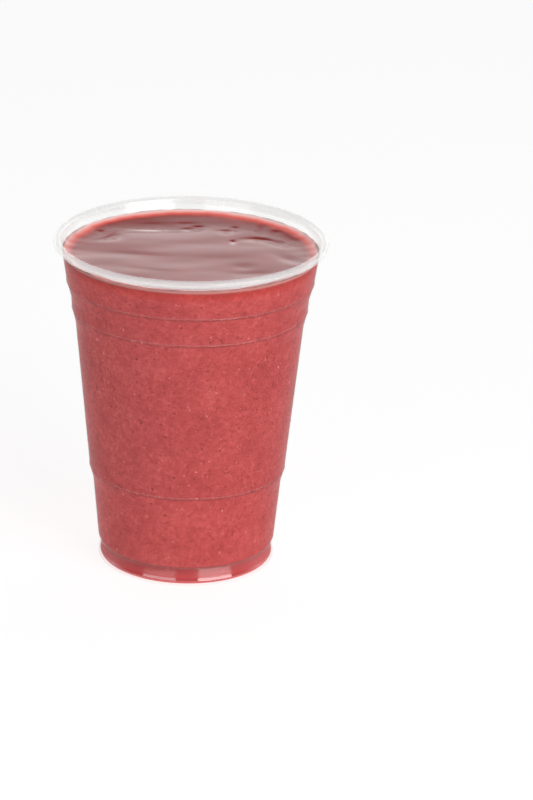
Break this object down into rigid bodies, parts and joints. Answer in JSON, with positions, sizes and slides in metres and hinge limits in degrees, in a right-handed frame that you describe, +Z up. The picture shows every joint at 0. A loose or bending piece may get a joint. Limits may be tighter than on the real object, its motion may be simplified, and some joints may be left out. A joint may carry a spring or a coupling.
{
  "type": "cup of smoothie",
  "caption": "Clear stepped plastic cup with a rolled rim, filled almost to the brim with thick red berry smoothie; stands on its foot ring.",
  "frame": {"origin": "middle of the foot ring, on the surface that the cup stands on", "axes": "+Z up along the cup's axis; the camera of the picture looks from -Y"},
  "size_m": [0.098, 0.098, 0.1215],
  "materials": {
    "clear_plastic": "clear, glossy",
    "berry_smoothie": "thick, wet, speckled with seeds"
  },
  "bodies": {
    "root": {"cup": "clear_plastic", "smoothie": "berry_smoothie"}
  },
  "joints": []
}
